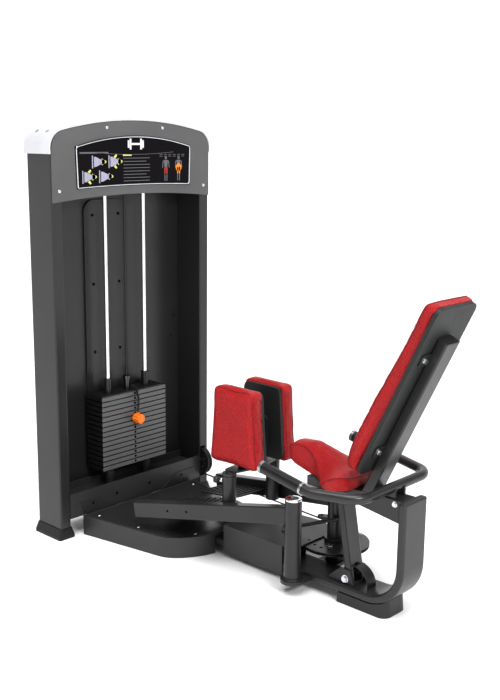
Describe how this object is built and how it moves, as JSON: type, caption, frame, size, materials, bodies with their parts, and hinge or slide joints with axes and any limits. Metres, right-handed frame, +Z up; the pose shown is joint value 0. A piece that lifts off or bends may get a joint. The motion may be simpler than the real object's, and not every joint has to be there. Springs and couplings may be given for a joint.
{
  "type": "hip adductor abductor machine",
  "caption": "Seated inner and outer thigh machine: pin-loaded weight tower, swinging leg arms with swivel knee pads, foot rests, padded seat and reclined back",
  "frame": {"origin": "on the floor, at the middle of the footprint box", "axes": "+Z up, +Y from the seat towards the weight tower, +X to the right seen from the seat looking at the tower"},
  "size_m": [0.836, 1.6569, 1.632],
  "materials": {
    "frame_paint": "satin graphite powder coat",
    "panel_paint": "satin mid-grey paint",
    "cap_plastic": "glossy silver-white moulding",
    "black_plastic": "fine textured black plastic",
    "tread_plastic": "glossy dark tread",
    "board_plastic": "black vinyl-faced board",
    "pan_wood": "black-stained plywood",
    "placard_print": "glossy printed plate with a silver edge",
    "bright_steel": "polished",
    "bolt_steel": "bright zinc plate",
    "black_rubber": "matte rubber",
    "lanyard_cord": "coiled black plastic cord",
    "plate_iron": "painted black cast iron",
    "cable_sheath": "steel cable in a black nylon sheath",
    "pulley_nylon": "moulded black nylon",
    "red_vinyl": "grained red vinyl",
    "orange_plastic": "glossy orange moulding"
  },
  "bodies": {
    "frame": {"left_post": "frame_paint", "right_post": "frame_paint", "tower_foot_caps": "black_plastic", "top_cap": "cap_plastic", "head_panel": "panel_paint", "placard": "placard_print", "panel_screws": "bolt_steel", "rear_panel": "frame_paint", "raised_back_plate": "frame_paint", "top_cross_member": "frame_paint", "base_channel": "frame_paint", "guide_rods": "bright_steel", "stack_buffers": "black_rubber", "weight_plates_resting": "plate_iron", "pulley_brackets": "frame_paint", "main_cable": "cable_sheath", "main_frame": "frame_paint", "rear_foot": "black_plastic", "tube_end_caps": "black_plastic", "base_cover": "black_plastic", "base_cover_plate": "tread_plastic", "centre_box": "panel_paint", "pivot_carrier": "frame_paint", "pivot_rings": "bright_steel", "seat_column": "frame_paint", "column_bracket": "black_plastic", "seat_beam": "frame_paint", "frame_bolts": "bolt_steel", "seat_cushion": "red_vinyl", "seat_pan": "pan_wood", "back_board": "board_plastic", "back_cushion": "red_vinyl", "back_support": "frame_paint", "back_brackets": "frame_paint", "handle_bar": "frame_paint", "hand_grips": "black_rubber", "grip_rings": "bright_steel"},
    "stack": {"top_plate": "plate_iron", "weight_plates_lifted": "plate_iron", "guide_bushings": "black_plastic", "selector_stem": "frame_paint", "lanyard": "lanyard_cord"},
    "selector": {"selector_pin": "bright_steel", "selector_knob": "orange_plastic"},
    "inner_pulley": {"top_pulley_inner": "pulley_nylon"},
    "outer_pulley": {"top_pulley_outer": "pulley_nylon"},
    "foot_pulley": {"base_pulley": "pulley_nylon"},
    "left_leg_arm": {"left_arm": "frame_paint", "left_foot_rest": "black_plastic"},
    "right_leg_arm": {"right_arm": "frame_paint", "right_foot_rest": "black_plastic", "cable_cam": "frame_paint", "cam_bolts": "bolt_steel"},
    "left_pad": {"left_pad_post": "frame_paint", "left_pad_board": "board_plastic", "left_pad_cushion": "red_vinyl"},
    "right_pad": {"right_pad_post": "frame_paint", "right_pad_board": "board_plastic", "right_pad_cushion": "red_vinyl"},
    "tie_rod_body": {"tie_rod": "frame_paint"}
  },
  "joints": [
    {"name": "right_arm_swing", "type": "hinge", "parent": "frame", "child": "right_leg_arm", "pos_m": [0.12, -0.2845, 0.2], "axis": [0, 0, -1], "range_deg": [0, 45]},
    {"name": "left_arm_swing", "type": "hinge", "parent": "frame", "child": "left_leg_arm", "pos_m": [-0.12, -0.2845, 0.2], "axis": [0, 0, 1], "range_deg": [0, 45]},
    {"name": "stack_lift", "type": "slide", "parent": "frame", "child": "stack", "axis": [0, 0, 1], "range_m": [0, 0.09587]},
    {"name": "pin_pull", "type": "slide", "parent": "stack", "child": "selector", "axis": [0, -1, 0], "range_m": [0, 0.075], "deforming": ["lanyard"]},
    {"name": "inner_pulley_spin", "type": "hinge", "parent": "frame", "child": "inner_pulley", "pos_m": [0.047, 0.7415, 1.452], "axis": [0, 1, 0], "range_deg": [0, 117]},
    {"name": "outer_pulley_spin", "type": "hinge", "parent": "frame", "child": "outer_pulley", "pos_m": [0.327, 0.7415, 1.452], "axis": [0, 1, 0], "range_deg": [0, 117]},
    {"name": "foot_pulley_spin", "type": "hinge", "parent": "frame", "child": "foot_pulley", "pos_m": [0.374, 0.6835, 0.147], "axis": [1, 0, 0], "range_deg": [-95, 0]},
    {"name": "left_pad_swivel", "type": "hinge", "parent": "left_leg_arm", "child": "left_pad", "pos_m": [-0.1195, 0.0255, 0.3], "axis": [0, 0, 1], "range_deg": [0, 180]},
    {"name": "right_pad_swivel", "type": "hinge", "parent": "right_leg_arm", "child": "right_pad", "pos_m": [0.1195, 0.0255, 0.3], "axis": [0, 0, -1], "range_deg": [0, 180]},
    {"name": "tie_rod_turn", "type": "hinge", "parent": "left_leg_arm", "child": "tie_rod_body", "pos_m": [-0.1001, -0.23646, 0.21], "axis": [0, 0, 1], "range_deg": [-45, 0]}
  ],
  "couplings": [
    {"joint": "left_arm_swing", "follows": "right_arm_swing", "ratio": 1},
    {"joint": "stack_lift", "follows": "right_arm_swing", "m_per_rad": 0.122},
    {"joint": "inner_pulley_spin", "follows": "right_arm_swing", "ratio": 2.5957},
    {"joint": "outer_pulley_spin", "follows": "right_arm_swing", "ratio": 2.5957},
    {"joint": "foot_pulley_spin", "follows": "right_arm_swing", "ratio": -2.1035},
    {"joint": "tie_rod_turn", "follows": "right_arm_swing", "ratio": -1}
  ]
}
